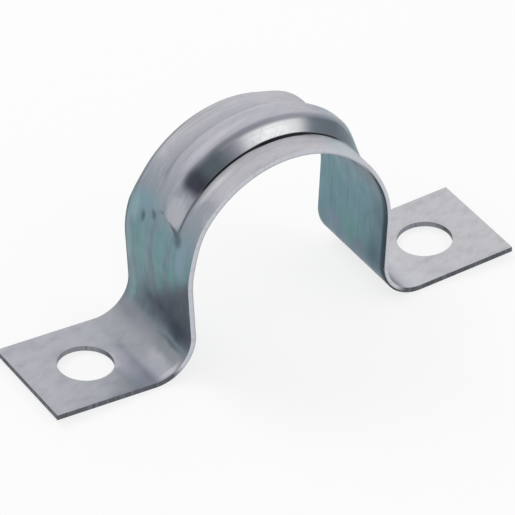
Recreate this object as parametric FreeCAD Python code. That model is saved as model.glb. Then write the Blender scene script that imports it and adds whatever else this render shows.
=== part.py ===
import FreeCAD, Part
import math
import os

# Two-hole pressed steel conduit strap.
# X runs from foot to foot, Y along the conduit, Z up from the wall.
# The origin lies between the two heels, on the plane the heels rest on.

# Driving dimensions, mm and degrees
overall_length = 80.0
strip_width = 18.5
sheet_thickness = 0.85
seat_radius = 16.8
seat_centre_height = 15.5
leg_lean = 3.0
heel_radius = 6.65
foot_rise = 2.6
hole_spacing = 60.0
hole_diameter = 8.6
# narrowing of the strip where the rib has drawn the sheet in
edge_draw_in = 0.6
draw_in_start = 12.0
draw_in_end = 35.0
# pressed rib over the arch
rib_base_width = 8.4
rib_crown_width = 4.4
rib_rise = 2.15
rib_dome = 0.12
rib_shoulder_radius = 1.0
# the rib keeps its full height up to this angle either side of the top
rib_full_angle = 39.0
# the corners of the rib run down to this angle either side of the top
rib_corner_angle = 70.5
# the middle of the rib ends earlier, which leaves a notch between the corners
rib_notch_angle = 64.5
# angle at which the falling crown line would meet the plain sheet
rib_vanish_angle = 73.0
rib_end_wall_slope = 58.0
run_out_steps = 6

# Derived values
outer_radius = seat_radius + sheet_thickness
half_length = overall_length / 2.0
half_width = strip_width / 2.0
rib_base_half = rib_base_width / 2.0
rib_crown_half = rib_crown_width / 2.0
lean = math.radians(leg_lean)
rise = math.radians(foot_rise)
margin = 2.0

down_leg = FreeCAD.Vector(-math.sin(lean), 0, -math.cos(lean))
out_of_leg = FreeCAD.Vector(math.cos(lean), 0, -math.sin(lean))
along_foot = FreeCAD.Vector(math.cos(rise), 0, math.sin(rise))
up_from_foot = FreeCAD.Vector(-math.sin(rise), 0, math.cos(rise))
arch_centre = FreeCAD.Vector(0, 0, seat_centre_height)


def arch_point(radius, angle_from_top, y):
    """Point on the arch at an angle measured from the top towards +X."""
    turn = math.radians(angle_from_top)
    x = radius * math.sin(turn)
    z = seat_centre_height + radius * math.cos(turn)
    return FreeCAD.Vector(x, y, z)


def heel_centre():
    """Centre of the bend between leg and foot, one heel radius above the wall."""
    leg_top = arch_centre + out_of_leg * seat_radius
    drop = leg_top.z - heel_radius - heel_radius * math.sin(lean)
    leg_length = drop / math.cos(lean)
    leg_foot = leg_top + down_leg * leg_length
    return leg_foot + out_of_leg * heel_radius


def arc_about(centre, radius, start, end):
    """Short arc about a centre between two directions."""
    middle = start + end
    middle.normalize()
    a = centre + start * radius
    m = centre + middle * radius
    b = centre + end * radius
    return Part.Arc(a, m, b).toShape()


def sheet_line(offset):
    """Half of the bent centre plane at an offset from the conduit side."""
    centre = heel_centre()
    bend = heel_radius - offset
    foot_start = centre - up_from_foot * bend
    reach = (half_length - (centre - up_from_foot * heel_radius).x) / math.cos(rise)
    foot_end = foot_start + along_foot * reach
    foot = Part.makeLine(foot_end, foot_start)
    heel = arc_about(centre, bend, up_from_foot * -1, out_of_leg * -1)
    leg_low = centre - out_of_leg * bend
    leg_high = arch_centre + out_of_leg * (seat_radius + offset)
    leg = Part.makeLine(leg_low, leg_high)
    top = FreeCAD.Vector(0, 0, 1)
    arch = arc_about(arch_centre, seat_radius + offset, out_of_leg, top)
    return [foot, heel, leg, arch]


def half_sheet():
    """Half of the plain bent strip, wider than needed, before its edges are cut."""
    inner = sheet_line(0.0)
    outer = sheet_line(sheet_thickness)
    end = Part.makeLine(inner[0].Vertexes[0].Point, outer[0].Vertexes[0].Point)
    low = FreeCAD.Vector(0, 0, seat_centre_height + seat_radius)
    high = FreeCAD.Vector(0, 0, seat_centre_height + outer_radius)
    top = Part.makeLine(low, high)
    edges = inner + outer + [end, top]
    wire = Part.Wire(Part.__sortEdges__(edges))
    face = Part.Face(wire)
    face.translate(FreeCAD.Vector(0, -half_width - margin, 0))
    return face.extrude(FreeCAD.Vector(0, half_width + margin, 0))


def quarter_outline():
    """Side view of the strip edge: straight at the legs, drawn in over the arch."""
    z_start = seat_centre_height + outer_radius * math.sin(math.radians(draw_in_start))
    z_end = seat_centre_height + outer_radius * math.sin(math.radians(draw_in_end))
    z_mid = (z_start + z_end) / 2.0
    z_top = seat_centre_height + outer_radius + rib_rise + margin
    edge = -half_width
    narrow = edge + edge_draw_in
    a = FreeCAD.Vector(0, edge, -margin)
    b = FreeCAD.Vector(0, edge, z_start)
    c = FreeCAD.Vector(0, narrow, z_end)
    d = FreeCAD.Vector(0, narrow, z_top)
    e = FreeCAD.Vector(0, 0, z_top)
    f = FreeCAD.Vector(0, 0, -margin)
    curve = Part.BezierCurve()
    curve.setPoles([b, FreeCAD.Vector(0, edge, z_mid), FreeCAD.Vector(0, narrow, z_mid), c])
    parts = [Part.makeLine(a, b), curve.toShape(), Part.makeLine(c, d)]
    parts += [Part.makeLine(d, e), Part.makeLine(e, f), Part.makeLine(f, a)]
    face = Part.Face(Part.Wire(parts))
    return face.extrude(FreeCAD.Vector(half_length + margin, 0, 0))


def rib_state(angle):
    """Crown rise and half width of the rib at an angle from the top."""
    fall = (angle - rib_full_angle) / (rib_vanish_angle - rib_full_angle)
    fall = max(fall, 0.0)
    height = rib_rise * (1.0 - fall * fall)
    crown = rib_crown_half * (1.0 - fall) ** 1.3
    return height, crown


def rib_section(angle, inside):
    """Closed half section of the rib, or of the hollow under it."""
    height, crown = rib_state(angle)
    wall_angle = math.atan2(height, rib_base_half - crown)
    shift = sheet_thickness * math.tan(wall_angle / 2.0) if inside else 0.0
    surface = seat_radius if inside else outer_radius
    floor = surface - (margin if inside else 0.7 * sheet_thickness)
    radius = rib_shoulder_radius - (0.8 * sheet_thickness if inside else 0.0)
    foot = rib_base_half - shift
    crown = crown - shift * crown / rib_crown_half
    level = surface + height
    tuck = radius * math.tan(wall_angle / 2.0)
    wall_run = (foot - crown) * 0.1
    low = (-foot - wall_run, surface - height * 0.1)
    arc_low = (-crown - tuck * math.cos(wall_angle), level - tuck * math.sin(wall_angle))
    arc_high = (-crown + tuck, level)
    centre = (arc_high[0], level - radius)
    half_turn = wall_angle / 2.0
    arc_mid = (centre[0] - radius * math.sin(half_turn), centre[1] + radius * math.cos(half_turn))
    top = (0.0, level + rib_dome)
    base_out = (low[0], floor)
    base_in = (0.0, floor)
    p = [arch_point(r, angle, y) for y, r in (base_out, low, arc_low, arc_mid, arc_high, top, base_in)]
    edges = [Part.makeLine(p[0], p[1]), Part.makeLine(p[1], p[2])]
    edges += [Part.Arc(p[2], p[3], p[4]).toShape(), Part.makeLine(p[4], p[5])]
    edges += [Part.makeLine(p[5], p[6]), Part.makeLine(p[6], p[0])]
    return Part.Wire(edges)


def rib_body(inside):
    """Quarter of the rib: turned over the arch, then lofted down its run-out."""
    axis = FreeCAD.Vector(0, 1, 0)
    start = Part.Face(rib_section(0.0, inside))
    turned = start.revolve(arch_centre, axis, rib_full_angle)
    step = (rib_corner_angle + 1.0 - rib_full_angle) / run_out_steps
    angles = [rib_full_angle + step * i for i in range(run_out_steps + 1)]
    wires = [rib_section(angle, inside) for angle in angles]
    run_out = Part.makeLoft(wires, True, True)
    return turned.fuse(run_out.cut(end_cutter(inside)))


def end_cutter(inside):
    """Block whose sloping face forms the end wall of one rib corner."""
    surface = outer_radius
    corner = arch_point(surface, rib_corner_angle, -rib_base_half)
    notch = arch_point(surface, rib_notch_angle, 0.0)
    along = notch - corner
    along.normalize()
    middle = math.radians((rib_corner_angle + rib_notch_angle) / 2.0)
    outward = FreeCAD.Vector(math.sin(middle), 0, math.cos(middle))
    outward = outward - along * outward.dot(along)
    outward.normalize()
    across = along.cross(outward)
    if across.z > 0:
        across = across * -1
    slope = math.radians(rib_end_wall_slope)
    wall_up = outward * math.sin(slope) - across * math.cos(slope)
    wall_out = across * math.sin(slope) + outward * math.cos(slope)
    shift = -sheet_thickness if inside else 0.0
    origin = corner + wall_out * shift
    size = 12.0
    a = origin - along * size - wall_up * size
    b = origin + along * size * 2.0 - wall_up * size
    c = origin + along * size * 2.0 + wall_up * size
    d = origin - along * size + wall_up * size
    face = Part.Face(Part.makePolygon([a, b, c, d, a]))
    return face.extrude(wall_out * size)


def bolt_hole():
    """Upright round hole through the foot."""
    place = FreeCAD.Vector(hole_spacing / 2.0, 0, -margin)
    return Part.makeCylinder(hole_diameter / 2.0, 3.0 * margin, place, FreeCAD.Vector(0, 0, 1))


def mirrored(shape, normal):
    """Copy of a shape on the other side of the plane through the origin with this normal."""
    return shape.mirror(FreeCAD.Vector(0, 0, 0), normal)


def quarter():
    """One quarter of the strap, with its part of the rib and of the hollow under it."""
    body = half_sheet().common(quarter_outline())
    body = body.fuse(rib_body(False))
    body = body.cut(rib_body(True))
    return body


def build():
    """Whole strap. The seam along its middle is kept, so each brim of the seat is a face."""
    across = FreeCAD.Vector(1, 0, 0)
    along = FreeCAD.Vector(0, 1, 0)
    piece = quarter()
    near = piece.fuse(mirrored(piece, across)).removeSplitter()
    whole = near.fuse(mirrored(near, along))
    whole = whole.cut(bolt_hole()).cut(mirrored(bolt_hole(), across))
    return whole.Solids[0]


os.makedirs("parts", exist_ok=True)
strap = build()
strap.exportStep("parts/conduit_strap.step")
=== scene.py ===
import math

import bpy
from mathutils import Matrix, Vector


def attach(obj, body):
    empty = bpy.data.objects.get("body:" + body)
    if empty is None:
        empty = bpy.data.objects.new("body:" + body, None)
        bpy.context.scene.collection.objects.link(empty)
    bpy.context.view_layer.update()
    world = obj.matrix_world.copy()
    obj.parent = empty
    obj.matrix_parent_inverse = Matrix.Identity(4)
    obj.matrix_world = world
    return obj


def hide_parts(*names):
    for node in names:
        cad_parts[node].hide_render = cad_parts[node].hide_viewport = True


# Two-hole conduit strap, pressed from one strip of zinc-plated sheet steel.
# Lengths are millimetres until they are written to a mesh. Lamps, floor and camera are in metres.
# Along the strip, lengths run on the middle of the sheet from the top of the arch, negative towards the
# left foot. Across it they run from its middle, negative towards the near edge.

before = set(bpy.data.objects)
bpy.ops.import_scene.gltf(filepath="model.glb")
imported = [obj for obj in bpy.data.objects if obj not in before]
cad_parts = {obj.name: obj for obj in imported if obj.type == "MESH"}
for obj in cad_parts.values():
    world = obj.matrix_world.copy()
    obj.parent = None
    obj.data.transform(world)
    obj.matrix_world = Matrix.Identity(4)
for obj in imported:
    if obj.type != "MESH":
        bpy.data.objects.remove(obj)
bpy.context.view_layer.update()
MM = 0.001

# Sheet, seat and bends
THICKNESS = 0.85
SEAT_RADIUS = 16.8
OUTER_RADIUS = SEAT_RADIUS + THICKNESS
MIDDLE_RADIUS = SEAT_RADIUS + THICKNESS / 2
SEAT_HEIGHT = 15.5
HALF_LENGTH = 40.0
HALF_WIDTH = 9.25
LEAN = math.radians(3.0)
RISE = math.radians(2.6)
HEEL_RADIUS = 6.65

# Over the arch the brims are drawn in, from BRIM_START outwards. They narrow between two heights on the
# arch, given by their angles above the seat's centre.
DRAW_IN = 0.6
DRAW_IN_START = math.radians(12)
DRAW_IN_END = math.radians(35)
BRIM_START = 4.8

# Bolt holes and sheared edges
HOLE_PLACE = 30.0
HOLE_RADIUS = 4.3
HOLE_SIDES = 96
DRILL_LENGTH = 8.0
ROLL_OVER = 0.11
# a cut face lies on a foot, or this near the strip's narrowest edge, and faces out of the sheet by less
# than this share
CUT_DEPTH = 0.3
CUT_FACING = 0.45

# Pressed rib: half widths and heights, and its angles from the top of the arch in degrees. Its crown falls
# and narrows from RIB_FULL on, and would meet the sheet at RIB_VANISH.
RIB_BASE = 4.2
RIB_CROWN = 2.2
RIB_TAPER = 1.3
RIB_HEIGHT = 2.15
RIB_DOME = 0.12
RIB_FULL = 39.0
RIB_VANISH = 73.0
RIB_CORNER = 70.5
RIB_NOTCH = 64.5
RIB_CLEAR = RIB_CORNER + 4
RIB_MOST_FALL = 0.98
RIB_END_SLOPE = math.radians(58.0)
# its forms run into each other over these heights. The far side is pressed less sharply: its blends grow
# by the second value, in full from FAR_FULL on.
SHOULDER_BLEND, FAR_SHOULDER_GROWTH = 0.7, 0.4
VALLEY_BLEND, FAR_VALLEY_GROWTH = 0.12, 0.5
END_BLEND = 0.5
FAR_FULL = 1.5

# Right of the top the far brim stands a little proud: by how much, where along the strip and for how far
# either way, and from where across it and over what width it rises
BRIM_KICK = 0.5
KICK_PLACE, KICK_REACH = 12.5, 7.5
KICK_START, KICK_WIDTH = 5.6, 3.4


# ---------------------------------------------------------------- strip line

DOWN_LEG = Vector((-math.sin(LEAN), 0, -math.cos(LEAN)))
OUT_OF_LEG = Vector((math.cos(LEAN), 0, -math.sin(LEAN)))
ALONG_FOOT = Vector((math.cos(RISE), 0, math.sin(RISE)))
UP_FROM_FOOT = Vector((-math.sin(RISE), 0, math.cos(RISE)))
ARCH_CENTRE = Vector((0, 0, SEAT_HEIGHT))
LEG_TOP = ARCH_CENTRE + OUT_OF_LEG * SEAT_RADIUS
LEG_LENGTH = (LEG_TOP.z - HEEL_RADIUS - HEEL_RADIUS * math.sin(LEAN)) / math.cos(LEAN)
HEEL_CENTRE = LEG_TOP + DOWN_LEG * LEG_LENGTH + OUT_OF_LEG * HEEL_RADIUS
FOOT_START = HEEL_CENTRE - UP_FROM_FOOT * HEEL_RADIUS
FOOT_LENGTH = (HALF_LENGTH - FOOT_START.x) / math.cos(RISE)

# Where each stretch of half the strip ends
ARCH_TURN = math.pi / 2 + LEAN
HEEL_TURN = math.pi / 2 + LEAN + RISE
HEEL_MIDDLE = HEEL_RADIUS - THICKNESS / 2
ARCH_END = MIDDLE_RADIUS * ARCH_TURN
LEG_END = ARCH_END + LEG_LENGTH
HEEL_END = LEG_END + HEEL_MIDDLE * HEEL_TURN
STRIP_END = HEEL_END + FOOT_LENGTH

# Grid of the sheet: the end of each stretch of its positive half, and the largest step there.
# It is finest where the rib runs out, from 56 to 73 degrees from the top.
ROW_STRETCHES = (
    (MIDDLE_RADIUS * math.radians(56), 0.45), (MIDDLE_RADIUS * math.radians(73), 0.22), (ARCH_END, 0.5),
    (LEG_END, 1.5), (HEEL_END, 0.35), (STRIP_END, 2.0),
)
COLUMN_STRETCHES = ((BRIM_START, 0.2), (HALF_WIDTH, 0.9))


def strip_place(along):
    """Point on the conduit side of the sheet, and the way out of it, at a length along the strip."""
    side = 1.0 if along >= 0 else -1.0
    s = abs(along)
    if s <= ARCH_END:
        turn = s / MIDDLE_RADIUS
        out = Vector((math.sin(turn), 0, math.cos(turn)))
        point = ARCH_CENTRE + out * SEAT_RADIUS
    elif s <= LEG_END:
        out = OUT_OF_LEG.copy()
        point = LEG_TOP + DOWN_LEG * (s - ARCH_END)
    elif s <= HEEL_END:
        turn = (s - LEG_END) / HEEL_MIDDLE
        out = OUT_OF_LEG * math.cos(turn) - DOWN_LEG * math.sin(turn)
        point = HEEL_CENTRE - out * HEEL_RADIUS
    else:
        out = UP_FROM_FOOT.copy()
        point = FOOT_START + ALONG_FOOT * (s - HEEL_END)
    point.x *= side
    out.x *= side
    return point, out


def sheet_lengths(point):
    """Length along the strip of a point, and its height above the conduit side of the sheet."""
    side = 1.0 if point.x >= 0 else -1.0
    p = Vector((abs(point.x), 0, point.z))
    from_arch = p - ARCH_CENTRE
    if from_arch.dot(DOWN_LEG) <= 0:
        turn = math.atan2(p.x, p.z - SEAT_HEIGHT)
        return side * turn * MIDDLE_RADIUS, from_arch.length - SEAT_RADIUS
    from_heel = p - HEEL_CENTRE
    if from_heel.dot(DOWN_LEG) <= 0:
        down = (p - LEG_TOP).dot(DOWN_LEG)
        return side * (ARCH_END + down), (p - LEG_TOP).dot(OUT_OF_LEG)
    if from_heel.dot(ALONG_FOOT) <= 0:
        turn = math.atan2(from_heel.dot(DOWN_LEG), -from_heel.dot(OUT_OF_LEG))
        return side * (LEG_END + turn * HEEL_MIDDLE), HEEL_RADIUS - from_heel.length
    forward = (p - FOOT_START).dot(ALONG_FOOT)
    return side * (HEEL_END + forward), (p - FOOT_START).dot(UP_FROM_FOOT)


# ---------------------------------------------------------------- pressed shape

def soft_min(a, b, blend):
    """The lower of two heights, rounded off where they are within blend of each other."""
    overlap = max(blend - abs(a - b), 0.0) / blend
    return min(a, b) - overlap * overlap * blend / 4


def rib_height(along, across, inside):
    """Height of the pressed rib, or of the hollow under it, above the plain sheet."""
    turn = math.degrees(abs(along) / MIDDLE_RADIUS)
    if turn > RIB_CLEAR:
        return 0.0
    fall = max((turn - RIB_FULL) / (RIB_VANISH - RIB_FULL), 0.0)
    fall = min(fall, RIB_MOST_FALL)
    height = RIB_HEIGHT * (1 - fall * fall)
    crown = RIB_CROWN * (1 - fall) ** RIB_TAPER
    wall = math.atan2(height, RIB_BASE - crown)
    shift = THICKNESS * math.tan(wall / 2) if inside else 0.0
    wall_height = (RIB_BASE - shift - abs(across)) * math.tan(wall)
    dome = RIB_DOME * max(1 - (across / RIB_CROWN) ** 2, 0.0)
    far = min(max(across / FAR_FULL, 0.0), 1.0)
    body = soft_min(height + dome, wall_height, SHOULDER_BLEND + FAR_SHOULDER_GROWTH * far)
    corner = math.radians(RIB_CORNER) * OUTER_RADIUS
    notch = math.radians(RIB_NOTCH) * OUTER_RADIUS
    slant = math.atan2(corner - notch, RIB_BASE)
    here = math.radians(turn) * OUTER_RADIUS
    back = (notch + (corner - notch) * abs(across) / RIB_BASE - here) * math.cos(slant)
    end_wall = back * math.tan(RIB_END_SLOPE)
    if inside:
        end_wall -= THICKNESS * (1 / math.cos(RIB_END_SLOPE) - 1)
    body = soft_min(body, end_wall, END_BLEND)
    return -soft_min(-body, 0.0, VALLEY_BLEND + FAR_VALLEY_GROWTH * far)


def half_width_at(height):
    """Half width of the strip at a height above the wall: drawn in over the arch."""
    start = SEAT_HEIGHT + OUTER_RADIUS * math.sin(DRAW_IN_START)
    end = SEAT_HEIGHT + OUTER_RADIUS * math.sin(DRAW_IN_END)
    t = min(max((height - start) / (end - start), 0.0), 1.0)
    return HALF_WIDTH - DRAW_IN * t * t * (3 - 2 * t)


def brim_kick(along, across):
    """How far the far brim stands proud and out, where the rib has pulled the sheet."""
    across_share = min(max((across - KICK_START) / KICK_WIDTH, 0.0), 1.0)
    along_share = max(1.0 - ((along - KICK_PLACE) / KICK_REACH) ** 2, 0.0)
    return BRIM_KICK * across_share * across_share * along_share * along_share


def sheet_point(along, across, inside):
    """Point of the pressed sheet, in metres, for a place on the flat strip."""
    point, out = strip_place(along)
    outer_height = (point + out * THICKNESS).z
    edge = half_width_at(outer_height if abs(along) < ARCH_END else 0.0)
    kick = brim_kick(along, across)
    if across > 0:
        edge += kick
    over = abs(across) - BRIM_START
    if over > 0:
        drawn = over * (edge - BRIM_START) / (HALF_WIDTH - BRIM_START)
        across = math.copysign(BRIM_START + drawn, across)
    lift = rib_height(along, across, inside) + (0.0 if inside else THICKNESS) + kick
    return (point + out * lift + Vector((0, across, 0))) * MM


def grid_lines(stretches):
    """Places of the grid's lines, from one end or edge of the strip to the other."""
    half, start = [], 0.0
    for end, largest in stretches:
        count = max(math.ceil((end - start) / largest - 1e-9), 1)
        half += [start + (end - start) * i / count for i in range(count)]
        start = end
    half.append(start)
    return [-s for s in reversed(half[1:])] + half


def pick(*pieces):
    """Selects these pieces alone, and makes the last one active."""
    bpy.ops.object.select_all(action="DESELECT")
    for piece in pieces:
        piece.select_set(True)
        bpy.context.view_layer.objects.active = piece


def pressed_sheet(name, inside):
    """One side of the strap: a flat grid, pressed and bent to shape."""
    line_u, line_v = grid_lines(ROW_STRETCHES), grid_lines(COLUMN_STRETCHES)
    bpy.ops.object.select_all(action="DESELECT")
    bpy.ops.mesh.primitive_grid_add(
        x_subdivisions=len(line_u) - 1, y_subdivisions=len(line_v) - 1, size=1.0
    )
    side = bpy.context.active_object
    side.name = name
    for v in side.data.vertices:
        i = round((v.co.x + 0.5) * (len(line_u) - 1))
        j = round((v.co.y + 0.5) * (len(line_v) - 1))
        v.co = sheet_point(line_u[i], line_v[j], inside)
    return side


def strap():
    """Both sides of the sheet, joined round its edges into one closed shell."""
    outer = pressed_sheet("strap", False)
    inner = pressed_sheet("strap_inside", True)
    bpy.ops.object.mode_set(mode="EDIT")
    bpy.ops.mesh.select_all(action="SELECT")
    bpy.ops.mesh.flip_normals()
    bpy.ops.object.mode_set(mode="OBJECT")
    pick(inner, outer)
    bpy.ops.object.join()
    bpy.ops.object.mode_set(mode="EDIT")
    bpy.ops.mesh.select_mode(type="EDGE")
    bpy.ops.mesh.select_all(action="DESELECT")
    bpy.ops.mesh.select_non_manifold()
    bpy.ops.mesh.bridge_edge_loops()
    bpy.ops.mesh.select_all(action="SELECT")
    bpy.ops.mesh.normals_make_consistent(inside=False)
    bpy.ops.object.mode_set(mode="OBJECT")
    return outer


def punch_hole(piece, place):
    """Round bolt hole, upright through the foot."""
    bpy.ops.object.select_all(action="DESELECT")
    bpy.ops.mesh.primitive_cylinder_add(
        vertices=HOLE_SIDES, radius=HOLE_RADIUS * MM, depth=DRILL_LENGTH * MM, location=(place * MM, 0, 0)
    )
    drill = bpy.context.active_object
    cut = piece.modifiers.new("hole", "BOOLEAN")
    cut.operation = "DIFFERENCE"
    cut.solver = "EXACT"
    cut.object = drill
    pick(piece)
    bpy.ops.object.modifier_apply(modifier=cut.name)
    bpy.data.objects.remove(drill)


def round_edges(piece):
    """The sheared edges have a small roll-over."""
    bevel = piece.modifiers.new("edges", "BEVEL")
    bevel.width = ROLL_OVER * MM
    bevel.segments = 2
    bevel.limit_method = "ANGLE"
    bevel.angle_limit = math.radians(60)
    bevel.use_clamp_overlap = True
    pick(piece)
    bpy.ops.object.modifier_apply(modifier=bevel.name)
    bpy.ops.object.shade_smooth_by_angle(angle=math.radians(40))


def mark_cut_faces(piece):
    """The sheared sides of the sheet and the walls of its holes take the second material."""
    for face in piece.data.polygons:
        centre = face.center / MM
        along, _ = sheet_lengths(centre)
        _, out = strip_place(along)
        at_side = abs(centre.y) > HALF_WIDTH - DRAW_IN - CUT_DEPTH or abs(along) > HEEL_END
        if at_side and abs(face.normal.dot(out)) < CUT_FACING:
            face.material_index = 1


def map_strip(piece):
    """UV map in millimetres, along the strip and across it, and a mark of 1 on the sheet's outer side."""
    mesh = piece.data
    while mesh.uv_layers:
        mesh.uv_layers.remove(mesh.uv_layers[0])
    layer = mesh.uv_layers.new(name="Strip")
    mark = mesh.attributes.new("outside", "FLOAT", "POINT")
    places = []
    for v in mesh.vertices:
        point = v.co / MM
        along, above = sheet_lengths(point)
        places.append((along, point.y))
        mark.data[v.index].value = 1.0 if above > THICKNESS / 2 else 0.0
    for loop in mesh.loops:
        layer.data[loop.index].uv = places[loop.vertex_index]


# ---------------------------------------------------------------- nodes

def hex_colour(text):
    """sRGB hex to linear RGBA."""
    parts = [int(text[i:i + 2], 16) / 255 for i in (1, 3, 5)]
    linear = [c / 12.92 if c <= 0.04045 else ((c + 0.055) / 1.055) ** 2.4 for c in parts]
    return (*linear, 1.0)


def add(tree, kind, links=None, **settings):
    """Adds a node. Settings are its properties. Links are its inputs: sockets, values or hex colours."""
    made = tree.nodes.new(kind)
    for key, value in settings.items():
        setattr(made, key, value)
    for key, value in (links or {}).items():
        if isinstance(value, bpy.types.NodeSocket):
            tree.links.new(value, made.inputs[key])
        elif isinstance(value, str) and value.startswith("#"):
            made.inputs[key].default_value = hex_colour(value)
        else:
            made.inputs[key].default_value = value
    return made


def new_material(name):
    made = bpy.data.materials.new(name)
    made.use_nodes = True
    made.node_tree.nodes.clear()
    return made, made.node_tree


def share(tree, *limits):
    """Shares multiplied together. A limit is a share, or a value with the ends of its smooth step."""
    result = None
    for limit in limits:
        if isinstance(limit, tuple):
            value, start, end = limit
            limit = add(tree, "ShaderNodeMapRange", {0: value, 1: start, 2: end},
                        interpolation_type="SMOOTHSTEP").outputs[0]
        if result is None:
            result = limit
        else:
            result = add(tree, "ShaderNodeMath", {0: result, 1: limit}, operation="MULTIPLY").outputs[0]
    return result


def coats(tree, under, *layers):
    """Colours laid one over another. A layer is a colour and the share of it that covers."""
    for over, covers in layers:
        under = add(tree, "ShaderNodeMix", {"Factor": covers, 6: under, 7: over}, data_type="RGBA").outputs[2]
    return under


def oval(tree, where, along, across, length, width, turn=0.0, soft=0.5):
    """Soft oval on the sheet, with half lengths in mm."""
    local = add(tree, "ShaderNodeMapping", {
        "Vector": where, "Location": (along, across, 0), "Rotation": (0, 0, math.radians(turn)),
        "Scale": (length, width, 1)}, vector_type="TEXTURE")
    reach = add(tree, "ShaderNodeVectorMath", {0: local.outputs[0]}, operation="LENGTH")
    return share(tree, (reach.outputs["Value"], 1 + soft, 1 - soft))


def grain(tree, where, length, width, detail=3.0, turn=0.0, place=0.0):
    """Noise with spots of about length by width mm. Place picks another stretch of the noise."""
    local = add(tree, "ShaderNodeMapping", {
        "Vector": where, "Location": (place, place, place), "Rotation": (0, 0, math.radians(turn)),
        "Scale": (length, width, 1)}, vector_type="TEXTURE")
    made = add(tree, "ShaderNodeTexNoise", {
        "Vector": local.outputs[0], "Scale": 1.0, "Detail": detail, "Roughness": 0.55})
    return made.outputs["Fac"]


def tones(tree, length, stops):
    """Colour along the strip. A stop is a length from the top of the arch in mm, and a colour."""
    place = add(tree, "ShaderNodeMath", {0: length, 1: STRIP_END}, operation="DIVIDE").outputs[0]
    made = add(tree, "ShaderNodeValToRGB", {0: place})
    made.color_ramp.interpolation = "LINEAR"
    while len(made.color_ramp.elements) < len(stops):
        made.color_ramp.elements.new(0.5)
    for element, (at, colour) in zip(made.color_ramp.elements, stops):
        element.position = at / STRIP_END
        element.color = hex_colour(colour)
    return made.outputs[0]


def lay(tree, under, table, places):
    """Lays a table of coats over a colour. A row is a name, a colour, its strength, and what limits it:
    the name of a share, the name of a value with the start and end of its step, or an oval."""
    for _, colour, strength, *limits in table:
        found = []
        for limit in limits:
            if isinstance(limit, str):
                found.append(places[limit])
            elif limit[0] == "oval":
                found.append(oval(tree, places["ragged"], *limit[1:]))
            else:
                found.append((places[limit[0]], *limit[1:]))
        if strength < 1:
            found.append(strength)
        under = coats(tree, under, (colour, share(tree, *found)))
    return under


# ---------------------------------------------------------------- finishes

# Tone of the plate along the outside, from the top of the arch down to the foot
OUTSIDE_TONES = (
    (0.0, "#BDBEC5"), (7.0, "#BBBAC1"), (11.0, "#ADADB5"), (15.0, "#9CA0A9"), (18.5, "#8B959E"),
    (22.5, "#76919A"), (30.0, "#6E8F98"), (35.5, "#69858F"), (38.4, "#737F88"), (40.6, "#8C8F97"),
    (43.0, "#A4A6AE"), (47.0, "#B2B4BB"), (62.0, "#B7B8BF"),
)
# Tone of the plate along the inside
INSIDE_TONES = (
    (0.0, "#A3A5AC"), (9.0, "#979BA3"), (14.0, "#7F8A93"), (20.0, "#77868F"), (24.0, "#70909A"),
    (33.0, "#6E8E97"), (38.0, "#647C8A"), (42.0, "#9195A0"), (46.0, "#AFB1B7"),
)

# Coats on the outside of the sheet
OUTSIDE_COATS = (
    ("clean near brim", "#C3C2C7", 1, ("across", -4.4, -4.9), ("length", 14.0, 10.5)),
    ("clean far brim", "#BFBFC5", 0.8, ("across", 5.4, 7.8), ("length", 17.0, 10.0)),
    ("paler far side of the legs", "#90A6AC", 0.5, ("across", 6.4, 9.0), "leg"),
    ("green streaks down the legs", "#66968F", 0.45, ("green streaks", 0.50, 0.66), "leg"),
    ("grey streaks down the legs", "#6E7886", 0.5, ("wide streaks", 0.50, 0.36), "leg"),
    # painted dark reflection low on the left leg, with clouds in it
    ("oily film on the left leg", "#6B707B", 0.92, ("slant", -24.9, -27.0), ("along", -39.4, -37.2)),
    ("clouds in the oily film", "#5B6973", 0.6, ("slant", -26.0, -27.5), ("along", -39.4, -37.2),
     ("cloud", 0.46, 0.62)),
    ("blue-green past the top", "#93A0A8", 0.75, ("along", 5.5, 11.0), ("along", 17.0, 14.0),
     ("across", 6.0, 2.0), ("across", -4.4, -4.0)),
    ("pale near brim past the top", "#B4C3C9", 0.8, ("along", 6.5, 9.5), ("along", 16.0, 13.0),
     ("across", -4.2, -5.2)),
    ("blue-green right leg", "#76929A", 0.7, ("along", 12.0, 17.0), ("along", 40.0, 38.0)),
    ("clean right foot", "#C6C6CA", 1, ("along", -3.0, 3.0), "feet"),
    ("bright streaks on the arch", "#D0D1D7", 0.25, ("streaks", 0.52, 0.80), ("length", 26.0, 16.0)),
    ("mottled plating", "#8E9099", 0.18, ("mottle", 0.42, 0.75)),
    ("clouds on the feet", "#9EA0A8", 0.25, ("cloud", 0.50, 0.72), "feet"),
    ("clouds on the arch", "#CBCAD3", 0.40, ("cloud", 0.50, 0.70), ("length", 20.0, 14.0)),
    # painted highlight on the right heel's bend
    ("right heel polished by the bending tool", "#DCDCE2", 0.35, ("along", 41.5, 43.5),
     ("along", 49.0, 45.0)),
    # painted shade along the far edge of the left leg and of the arch
    ("oil on the leg's far edge", "#4F565C", 0.6, ("across", 8.60, 8.98), ("along", -16.0, -22.0),
     ("along", -40.0, -36.0)),
    ("oil on the arch's far edge", "#5F656C", 0.5, ("across", 8.05, 8.45), ("along", -3.0, -9.0),
     ("along", -23.0, -17.0)),
)

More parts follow.
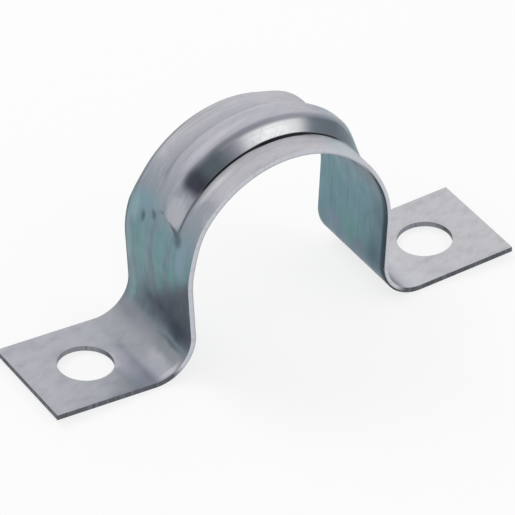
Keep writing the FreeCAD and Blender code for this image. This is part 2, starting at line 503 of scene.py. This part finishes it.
# Marks on the outside of the sheet: place along and across, half lengths, turn, colour, strength, softness
OUTSIDE_MARKS = (
    # painted highlights on the left heel and along its near rim
    ("painted highlight before the heel", -46.4, -5.2, 2.2, 5.4, 10, "#CFCDDA", 0.75, 0.5),
    ("painted highlight in the heel", -43.4, -5.6, 1.5, 3.2, -10, "#B9BAC3", 0.6, 0.5),
    ("painted highlight on the heel's rim", -43.4, -8.6, 2.2, 0.40, 0, "#DCDCE0", 0.6, 0.6),
    ("smear in the heel", -40.8, 6.6, 0.8, 2.6, 0, "#868792", 0.6, 0.7),
    # painted dark reflection on the left leg: its far side and its darkest core
    ("painted dark reflection at the far side", -35.4, 3.4, 3.0, 2.0, 0, "#5C717B", 0.6, 0.7),
    ("darkest core of the painted reflection on the leg", -37.2, -5.6, 1.6, 2.4, 0, "#4A5660", 0.8, 0.7),
    ("pale scuff in the heel", -38.8, -4.8, 0.30, 2.4, -3, "#7F8B93", 0.55, 0.8),
    ("dark scuff in the heel", -39.6, -5.0, 0.40, 2.8, 0, "#59646A", 0.7, 0.8),
    ("grey-green patch in the heel", -40.9, -4.6, 0.9, 3.0, 0, "#868F91", 0.6, 0.8),
    ("green streak up the leg", -26.4, -0.6, 5.0, 0.80, 0, "#659A92", 0.6, 0.9),
    ("green streak at the film", -27.6, -4.4, 2.2, 0.7, 0, "#6DA39E", 0.6, 0.8),
    ("green streak at the far side", -27.2, 5.6, 4.6, 0.9, 0, "#659794", 0.55, 0.8),
    ("pale green at the leg's foot", -37.2, 7.6, 2.4, 0.7, 0, "#7FA5A5", 0.6, 0.8),
    ("grey streak up the leg", -28.6, 1.6, 6.5, 0.6, 1, "#727D8B", 0.75, 0.8),
    ("grey streak beside the green", -31.0, -2.4, 3.2, 0.5, 0, "#6E7E88", 0.6, 0.8),
    ("blue film beside the notch", -23.6, -6.4, 3.2, 1.2, 0, "#839DAC", 0.7, 0.8),
    ("blue film above the notch", -19.8, 4.6, 1.6, 3.4, 12, "#7C9AA7", 0.65, 0.7),
    ("pale blue at the far side", -22.0, 7.3, 1.9, 1.0, 0, "#92AEB6", 0.6, 0.7),
    ("far draw mark", -22.3, 4.8, 0.75, 0.5, 0, "#46606A", 0.8, 0.7),
    ("near draw mark", -20.8, 2.4, 0.75, 0.55, 20, "#4C626C", 0.8, 0.7),
    # painted highlight on the near brim beside the rib
    ("painted highlight beside the rib", -11.0, -5.3, 3.2, 0.45, 0, "#E2E4E6", 0.55, 0.8),
    # painted highlight on the rib's end, and painted shade in its crease and corner
    ("painted highlight at the rib's end", -17.9, -2.5, 2.4, 1.6, 0, "#B2B3BA", 0.95, 0.35),
    ("painted shade in the crease at the rib's end", -20.3, -3.3, 0.46, 1.6, -20, "#4E6067", 0.85, 0.7),
    ("painted shade at the rib's corner", -21.3, -4.5, 0.8, 0.9, 0, "#4E686E", 0.8, 0.8),
)

# Coats on the rib, and in the valleys beside it: painted highlights, reflections and shade. The near wall is
# the rib's steep side towards the near edge.
RIB_COATS = (
    # painted highlight along the rib's near shoulder
    ("bright ridge", "#D2D1DE", 0.45, ("across", 0.5, -0.2), ("across", -1.2, -0.7),
     ("along", -15.0, -9.0), ("along", 1.0, -4.0)),
    # painted dark reflection along the shoulder, below the highlight
    ("dull line on the shoulder", "#888A97", 0.65, ("across", -1.2, -2.0), ("across", -2.75, -2.25),
     ("length", 17.0, 7.0)),
    # painted highlight: the bright middle of the near wall
    ("clean wall at the top", "#DADCDD", 1, "near wall", ("along", -7.0, -2.4), ("along", 7.4, 3.6)),
    # scratch texture laid into the painted highlight on the near wall
    ("scratched wall at the top", "#BFC4CA", 0.6, "near wall", ("along", -5.0, -3.0), ("along", 4.0, 2.0),
     ("scratches", 0.45, 0.70)),
    # painted dark reflection on the near wall, right of the top
    ("grey wall past the top", "#6D7881", 0.92, ("across", -2.0, -2.6), ("across", -4.15, -3.95),
     ("along", 4.2, 7.8), ("along", 18.0, 14.0)),
    # painted dim reflection on the near wall, left of the top
    ("lavender wall before the top", "#8B8D9B", 0.9, "near wall", ("along", -15.0, -11.0),
     ("along", -3.0, -6.2)),
    # painted dark reflection on the near wall, darkest at its left end
    ("smudge on the wall", "#5D696F", 0.9, ("ragged across", -1.3, -2.6), ("across", -4.2, -3.9),
     ("ragged along", -15.0, -13.0), ("ragged along", -5.4, -8.8)),
    ("dark end of the smudge", "#40414D", 0.88, ("ragged across", -1.1, -2.3), ("across", -4.2, -3.9),
     ("ragged along", -15.2, -13.2), ("ragged along", -9.6, -12.6)),
    # painted shade in the near valley's crease, blackest at the top and fainter towards the rib's end
    ("black oil in the near valley", "#1B1B1F", 1, ("across", -3.92, -4.04), ("across", -4.66, -4.46),
     ("along", -4.5, -1.5), ("along", 7.5, 4.5)),
    ("thinner oil either side of it", "#26272C", 1, ("across", -3.98, -4.10), ("across", -4.48, -4.30),
     ("along", -16.0, -12.5), ("along", 14.0, 11.0)),
    ("worn oil down to the corner", "#63666D", 0.85, ("across", -3.98, -4.12), ("across", -4.6, -4.4),
     ("along", -21.2, -19.8), ("along", -12.0, -14.5)),
    # painted soft shade in the far valley
    ("dull far valley", "#8A8D97", 0.28, ("across", 2.8, 4.3), ("across", 6.2, 4.5), ("length", 20.0, 13.0)),
)

# Coats on the inside of the sheet. An oval has its place along and across, half lengths, turn and softness.
INSIDE_COATS = (
    ("green streaks down the legs", "#64988F", 0.40, ("green streaks", 0.54, 0.68), "leg"),
    ("grey streaks down the legs", "#5E7480", 0.45, ("wide streaks", 0.44, 0.30), "leg"),
    ("green spot", "#62908A", 0.65, ("oval", 34.3, 0.4, 2.0, 2.2, 0, 0.8)),
    ("blue spot", "#7889A0", 0.6, ("oval", 35.4, 4.6, 1.5, 2.2)),
    ("grey spot", "#707C8C", 0.7, ("oval", 36.0, -2.6, 1.3, 1.6)),
    # painted shade on the inside towards the near edge
    ("darker near side", "#5A6E7A", 0.6, ("across", -3.6, -7.6), "leg"),
    ("dark spot at the near side", "#43606B", 0.65, ("oval", 35.6, -6.4, 2.6, 1.8, 0, 0.9)),
    # painted shade along the near edge's roll-over on the inside
    ("oil along the near edge", "#2B3A44", 0.85, ("across", -8.0, -8.7), ("length", 12.0, 17.0),
     ("length", 47.0, 44.0)),
)

# Coats on both sides of the sheet
DARK_STREAKS = (
    ("dark streaks above the heel", "#5F6470", 0.20, ("streaks", 0.50, 0.25), "above the heel"),
    ("dark streaks on the legs", "#586670", 0.20, ("streaks", 0.50, 0.25), "leg"),
)

# Coats on the cut faces of the sheet
CUT_COATS = (
    ("dull inner band", "#A0A2AA", 0.6, ("outside", 0.35, 0.05)),
    # painted shade on the inner band of the right side's cut faces
    ("oil on the right side's inner band", "#3A464F", 1, ("outside", 0.45, 0.2), ("along", 13.0, 20.0)),
    # cut faces darker from the heels down
    ("oil and dust low down", "#606369", 1, "low"),
    # painted light on the far side of each hole's wall
    ("side of each hole that the punch has burnished", "#A2A4AB", 0.65, ("across", 0.4, 3.0),
     ("across", 5.5, 4.6), ("length", 59.0, 58.0), "low"),
    ("bright grains of the torn metal", "#9A9EA6", 0.3, ("tear", 0.5, 0.7)),
    ("dark grains low down", "#3F4248", 0.5, ("tear", 0.48, 0.3), "low"),
)

# Borders of the films, tones and painted reflections wander by up to about half a millimetre, in waves of
# about 2 mm
WANDER = (1.3, 0.9, 0.0)
WANDER_SCALE = 0.45
# The painted dark reflection on the left leg ends above in a slanting border. This way, along and across the
# strip, is square to it.
LEG_REFLECTION_WAY = (0.781, 0.624, 0.0)
# A satin metal: smoother and rougher clouds of the plate, and the cut faces
PLATE_ROUGHNESS = (0.36, 0.50)
CUT_ROUGHNESS = 0.5
STREAK_DEPTH, STREAK_STRENGTH = 0.04, 0.15


def zinc_plate():
    """Zinc plate over cold-rolled sheet: satin, with streaks along the way the strip was drawn,
    a lavender cast on the arch and feet and a blue-green one on the legs, and painted highlights,
    reflections and shade on the rib, the heels, the left leg and the edges."""
    made, tree = new_material("zinc-plated sheet steel")
    strip = add(tree, "ShaderNodeUVMap", uv_map="Strip").outputs[0]
    wander = add(tree, "ShaderNodeTexNoise", {"Vector": strip, "Scale": WANDER_SCALE, "Detail": 3.0})
    centred = add(tree, "ShaderNodeVectorMath", {0: wander.outputs["Color"], 1: (0.5, 0.5, 0.5)},
                  operation="SUBTRACT")
    ragged = add(tree, "ShaderNodeVectorMath", {0: centred.outputs[0], 1: WANDER, 2: strip},
                 operation="MULTIPLY_ADD").outputs[0]
    slant = add(tree, "ShaderNodeVectorMath", {0: ragged, 1: LEG_REFLECTION_WAY}, operation="DOT_PRODUCT")
    along, across, _ = add(tree, "ShaderNodeSeparateXYZ", {0: strip}).outputs
    ragged_along, ragged_across, _ = add(tree, "ShaderNodeSeparateXYZ", {0: ragged}).outputs
    length = add(tree, "ShaderNodeMath", {0: along}, operation="ABSOLUTE").outputs[0]
    ragged_length = add(tree, "ShaderNodeMath", {0: ragged_along}, operation="ABSOLUTE").outputs[0]

    # the real rolling lines and scratches are under 0.1 mm wide, and are drawn wider so that they show
    streaks = grain(tree, strip, 9.0, 0.40, 3.0)
    cloud = grain(tree, strip, 3.0, 2.2, 3.0, place=7.0)
    places = {
        "along": along, "across": across, "length": length, "slant": slant.outputs["Value"],
        "ragged": ragged, "ragged along": ragged_along, "ragged across": ragged_across,
        "streaks": streaks, "cloud": cloud,
        "wide streaks": grain(tree, strip, 8.0, 1.1, 2.0, place=3.0),
        "green streaks": grain(tree, strip, 6.0, 0.9, 2.0, place=17.0),
        "mottle": grain(tree, strip, 2.2, 1.1, 3.0, turn=20, place=11.0),
        "scratches": grain(tree, strip, 1.4, 0.5, 2.0, turn=40, place=23.0),
        "feet": share(tree, (length, 43.0, 47.0)),
        "above the heel": share(tree, (length, 41.0, 37.0)),
        "leg": share(tree, (ragged_length, 21.0, 25.0), (ragged_length, 39.5, 36.8)),
        "near wall": share(tree, (across, -2.35, -2.75), (across, -4.15, -3.95)),
    }

    outside = lay(tree, tones(tree, ragged_length, OUTSIDE_TONES), OUTSIDE_COATS, places)
    for _, at, side, long, wide, turn, colour, strength, soft in OUTSIDE_MARKS:
        mark = oval(tree, ragged, at, side, long, wide, turn, soft)
        outside = coats(tree, outside, (colour, share(tree, mark, strength)))
    outside = lay(tree, outside, RIB_COATS, places)
    inside = lay(tree, tones(tree, ragged_length, INSIDE_TONES), INSIDE_COATS, places)
    is_outside = add(tree, "ShaderNodeAttribute", attribute_name="outside").outputs["Fac"]
    colour = lay(tree, coats(tree, inside, (outside, is_outside)), DARK_STREAKS, places)

    smoothest, roughest = PLATE_ROUGHNESS
    rough = add(tree, "ShaderNodeMapRange", {0: cloud, 1: 0.3, 2: 0.7, 3: smoothest, 4: roughest})
    bump = add(tree, "ShaderNodeBump", {
        "Strength": STREAK_STRENGTH, "Distance": STREAK_DEPTH * MM, "Height": streaks})
    shader = add(tree, "ShaderNodeBsdfPrincipled", {
        "Base Color": colour, "Metallic": 1.0, "Roughness": rough.outputs[0], "Normal": bump.outputs[0]})
    add(tree, "ShaderNodeOutputMaterial", {"Surface": shader.outputs[0]})
    return made


def sheared_edge():
    """Cut faces of the sheet: a burnished and a torn band, plated thinly, darker low down, with painted shade
    on the right side's inner band and painted light on the far side of each hole.
    """
    made, tree = new_material("sheared steel edge")
    strip = add(tree, "ShaderNodeUVMap", uv_map="Strip").outputs[0]
    along, across, _ = add(tree, "ShaderNodeSeparateXYZ", {0: strip}).outputs
    length = add(tree, "ShaderNodeMath", {0: along}, operation="ABSOLUTE").outputs[0]
    places = {
        "along": along, "across": across, "length": length,
        "outside": add(tree, "ShaderNodeAttribute", attribute_name="outside").outputs["Fac"],
        # grains of torn metal are finer than this, and are drawn coarser so that they show
        "tear": grain(tree, strip, 0.5, 0.5, 3.0),
        "low": share(tree, (length, 40.8, 43.2)),
    }
    colour = lay(tree, "#CACCD3", CUT_COATS, places)
    shader = add(tree, "ShaderNodeBsdfPrincipled", {
        "Base Color": colour, "Metallic": 1.0, "Roughness": CUT_ROUGHNESS})
    add(tree, "ShaderNodeOutputMaterial", {"Surface": shader.outputs[0]})
    return made


# ---------------------------------------------------------------- studio

FLOOR_SIZE = 6.0
# The paper glows to stay white at this lamp level, a little more as the camera sees it
FLOOR_GLOW, FLOOR_GLOW_SEEN = 0.72, 0.75

# Darker stretches of the room that the metal mirrors: name, way, inner and outer half angle in degrees, level
ROOM_SHADES = (
    ("dark ceiling", (-0.05, -0.15, 1.0), 8, 42, 0.55),
    ("camera side", (-0.42, -0.76, 0.50), 6, 34, 0.55),
    ("doorway", (0.95, -0.28, 0.12), 8, 36, 0.6),
)
ROOM_LIGHT = 0.7

# Soft boxes: name, place, width, power in watts, and whether the metal mirrors it
SOFT_BOXES = (
    ("soft_box_front", (0.38, -0.58, 0.56), 0.30, 0.35, True),
    ("soft_box_back", (-0.2, 0.6, 0.7), 0.5, 2.0, False),
)
LIGHT_AIM = (0, 0, 0.015)

# Camera: angles round and above the strap, distance, shift to the right and up, lens and sensor in mm
CAMERA_ROUND = math.radians(-31.397)
CAMERA_ABOVE = math.radians(36.446)
CAMERA_DISTANCE = 0.700
CAMERA_RIGHT = -0.000096
CAMERA_UP = 0.007351
CAMERA_LENS = 323.5
CAMERA_SENSOR = 36.0
CAMERA_NEAREST = 0.01


def floor_paper():
    """White backdrop paper: matt and even, bright enough to stay white, and it keeps the strap's shadow."""
    made, tree = new_material("white backdrop paper")
    paper = add(tree, "ShaderNodeBsdfDiffuse", {"Color": "#8A8A8A"})
    path = add(tree, "ShaderNodeLightPath")
    level = add(tree, "ShaderNodeMapRange", {
        0: path.outputs["Is Camera Ray"], 3: FLOOR_GLOW, 4: FLOOR_GLOW_SEEN})
    glow = add(tree, "ShaderNodeEmission", {"Color": (1, 1, 1, 1), "Strength": level.outputs[0]})
    total = add(tree, "ShaderNodeAddShader", {0: paper.outputs[0], 1: glow.outputs[0]})
    add(tree, "ShaderNodeOutputMaterial", {"Surface": total.outputs[0]})
    return made


def backdrop():
    bpy.ops.object.select_all(action="DESELECT")
    bpy.ops.mesh.primitive_plane_add(size=FLOOR_SIZE, location=(0, 0, 0))
    made = bpy.context.active_object
    made.name = "floor"
    made.data.materials.append(floor_paper())
    return made


def room():
    """White room. Its darker stretches show only in reflections."""
    world = bpy.data.worlds.new("studio")
    bpy.context.scene.world = world
    world.use_nodes = True
    tree = world.node_tree
    tree.nodes.clear()
    way = add(tree, "ShaderNodeTexCoord").outputs["Generated"]
    shade = "#FFFFFF"
    for _, axis, inner, outer, level in ROOM_SHADES:
        near = add(tree, "ShaderNodeVectorMath", {0: way, 1: Vector(axis).normalized()},
                   operation="DOT_PRODUCT").outputs["Value"]
        covers = share(tree, (near, math.cos(math.radians(outer)), math.cos(math.radians(inner))))
        shade = coats(tree, shade, ("#000000", share(tree, covers, 1.0 - level)))
    path = add(tree, "ShaderNodeLightPath")
    lit = add(tree, "ShaderNodeMapRange", {0: path.outputs["Is Glossy Ray"], 3: ROOM_LIGHT, 4: shade})
    seen = add(tree, "ShaderNodeMath", {
        0: path.outputs["Is Camera Ray"], 1: path.outputs["Is Transmission Ray"]}, operation="MAXIMUM")
    strength = add(tree, "ShaderNodeMapRange", {0: seen.outputs[0], 3: lit.outputs[0], 4: 1.0})
    back = add(tree, "ShaderNodeBackground", {"Color": (1, 1, 1, 1), "Strength": strength.outputs[0]})
    add(tree, "ShaderNodeOutputWorld", {"Surface": back.outputs[0]})


def soft_box(name, place, size, power, mirrored):
    data = bpy.data.lights.new(name, "AREA")
    data.shape = "SQUARE"
    data.size = size
    data.energy = power
    made = bpy.data.objects.new(name, data)
    bpy.context.scene.collection.objects.link(made)
    made.location = place
    made.rotation_euler = (Vector(LIGHT_AIM) - Vector(place)).to_track_quat("-Z", "Y").to_euler()
    made.visible_glossy = mirrored


def studio_camera():
    flat = math.cos(CAMERA_ABOVE)
    back = Vector((math.sin(CAMERA_ROUND) * flat, -math.cos(CAMERA_ROUND) * flat, math.sin(CAMERA_ABOVE)))
    right = Vector((math.cos(CAMERA_ROUND), math.sin(CAMERA_ROUND), 0))
    up = back.cross(right)
    data = bpy.data.cameras.new("camera")
    data.lens = CAMERA_LENS
    data.sensor_width = CAMERA_SENSOR
    data.clip_start = CAMERA_NEAREST
    made = bpy.data.objects.new("camera", data)
    bpy.context.scene.collection.objects.link(made)
    made.location = back * CAMERA_DISTANCE + right * CAMERA_RIGHT + up * CAMERA_UP
    made.rotation_euler = (math.pi / 2 - CAMERA_ABOVE, 0, CAMERA_ROUND)
    bpy.context.scene.camera = made


# ---------------------------------------------------------------- making

piece = strap()
for place in (-HOLE_PLACE, HOLE_PLACE):
    punch_hole(piece, place)
round_edges(piece)
map_strip(piece)
piece.data.materials.clear()
piece.data.materials.append(zinc_plate())
piece.data.materials.append(sheared_edge())
mark_cut_faces(piece)
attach(piece, "root")
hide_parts("conduit_strap")

floor = backdrop()
room()
for box in SOFT_BOXES:
    soft_box(*box)
studio_camera()
bpy.context.scene.view_settings.view_transform = "Standard"
